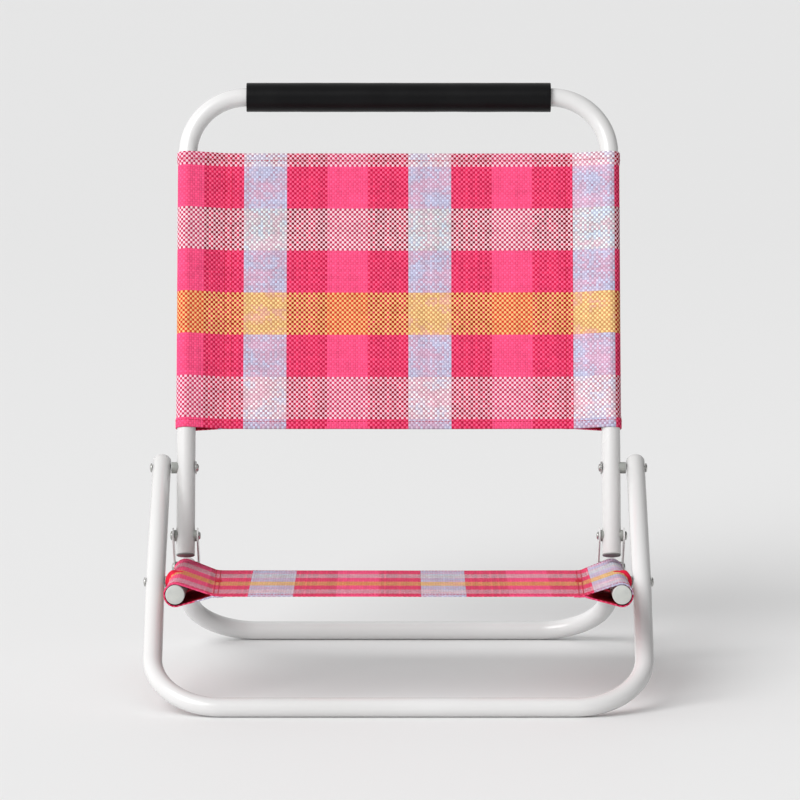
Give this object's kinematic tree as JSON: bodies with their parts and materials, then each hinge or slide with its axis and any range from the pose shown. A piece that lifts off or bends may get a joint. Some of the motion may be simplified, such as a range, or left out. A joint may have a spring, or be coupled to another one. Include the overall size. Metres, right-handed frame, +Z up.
{
  "type": "folding camp chair",
  "caption": "Low folding beach and camp chair: bent tube legs, seat and back frames, side link plates, woven cloth slings and a foam carry grip.",
  "frame": {"origin": "on the floor, midway between the front bar and the rear bar, on the chair's centre plane", "axes": "+Z up; -Y is the way the sitter faces; +X is the sitter's left, and the chair is mirrored about the plane X = 0"},
  "size_m": [0.5108, 0.4766, 0.5853],
  "materials": {
    "white_paint": "gloss",
    "grey_plastic": "satin",
    "plated_steel": "satin",
    "foam_grip": "matte",
    "woven_cloth": "matte"
  },
  "bodies": {
    "seat_frame": {"seat_frame_tube": "white_paint", "seat_sling": "woven_cloth", "rail_plug_left": "grey_plastic", "rail_plug_right": "grey_plastic", "leg_pivot_bolt_left": "plated_steel", "leg_pivot_bolt_right": "plated_steel", "leg_pivot_nut_left": "plated_steel", "leg_pivot_nut_right": "plated_steel", "leg_pivot_spacer_left": "grey_plastic", "leg_pivot_spacer_right": "grey_plastic", "link_foot_bolt_left": "plated_steel", "link_foot_bolt_right": "plated_steel", "link_foot_nut_left": "plated_steel", "link_foot_nut_right": "plated_steel", "link_foot_spacer_outer_left": "grey_plastic", "link_foot_spacer_outer_right": "grey_plastic", "link_foot_spacer_inner_left": "grey_plastic", "link_foot_spacer_inner_right": "grey_plastic"},
    "links": {"link_plate_outer_left": "white_paint", "link_plate_outer_right": "white_paint", "link_plate_inner_left": "white_paint", "link_plate_inner_right": "white_paint"},
    "back_frame": {"back_frame_tube": "white_paint", "back_sling": "woven_cloth", "hand_grip": "foam_grip", "upright_plug_left": "grey_plastic", "upright_plug_right": "grey_plastic", "link_top_bolt_left": "plated_steel", "link_top_bolt_right": "plated_steel", "link_top_nut_left": "plated_steel", "link_top_nut_right": "plated_steel", "link_top_spacer_outer_left": "grey_plastic", "link_top_spacer_outer_right": "grey_plastic", "link_top_spacer_inner_left": "grey_plastic", "link_top_spacer_inner_right": "grey_plastic", "back_pivot_nut_left": "plated_steel", "back_pivot_nut_right": "plated_steel", "back_pivot_washer_left": "plated_steel", "back_pivot_washer_right": "plated_steel", "back_pivot_spacer_left": "grey_plastic", "back_pivot_spacer_right": "grey_plastic"},
    "front_leg": {"front_leg_tube": "white_paint", "leg_cap_left": "white_paint", "leg_cap_right": "white_paint", "back_pivot_bolt_left": "plated_steel", "back_pivot_bolt_right": "plated_steel"}
  },
  "joints": [
    {"name": "fold", "type": "hinge", "parent": "seat_frame", "child": "links", "pos_m": [0, 0.09194, 0.09776], "axis": [1, 0, 0], "range_deg": [-128.9, 0]},
    {"name": "back_fold", "type": "hinge", "parent": "links", "child": "back_frame", "pos_m": [0, 0.03566, 0.13921], "axis": [1, 0, 0], "range_deg": [0, 235.4]},
    {"name": "leg_fold", "type": "hinge", "parent": "seat_frame", "child": "front_leg", "pos_m": [0, -0.07995, 0.1102], "axis": [1, 0, 0], "range_deg": [-30.6, 0]}
  ],
  "couplings": [
    {"joint": "back_fold", "follows": "fold", "ratio": -1.8255},
    {"joint": "leg_fold", "follows": "fold", "ratio": 0.23722}
  ]
}
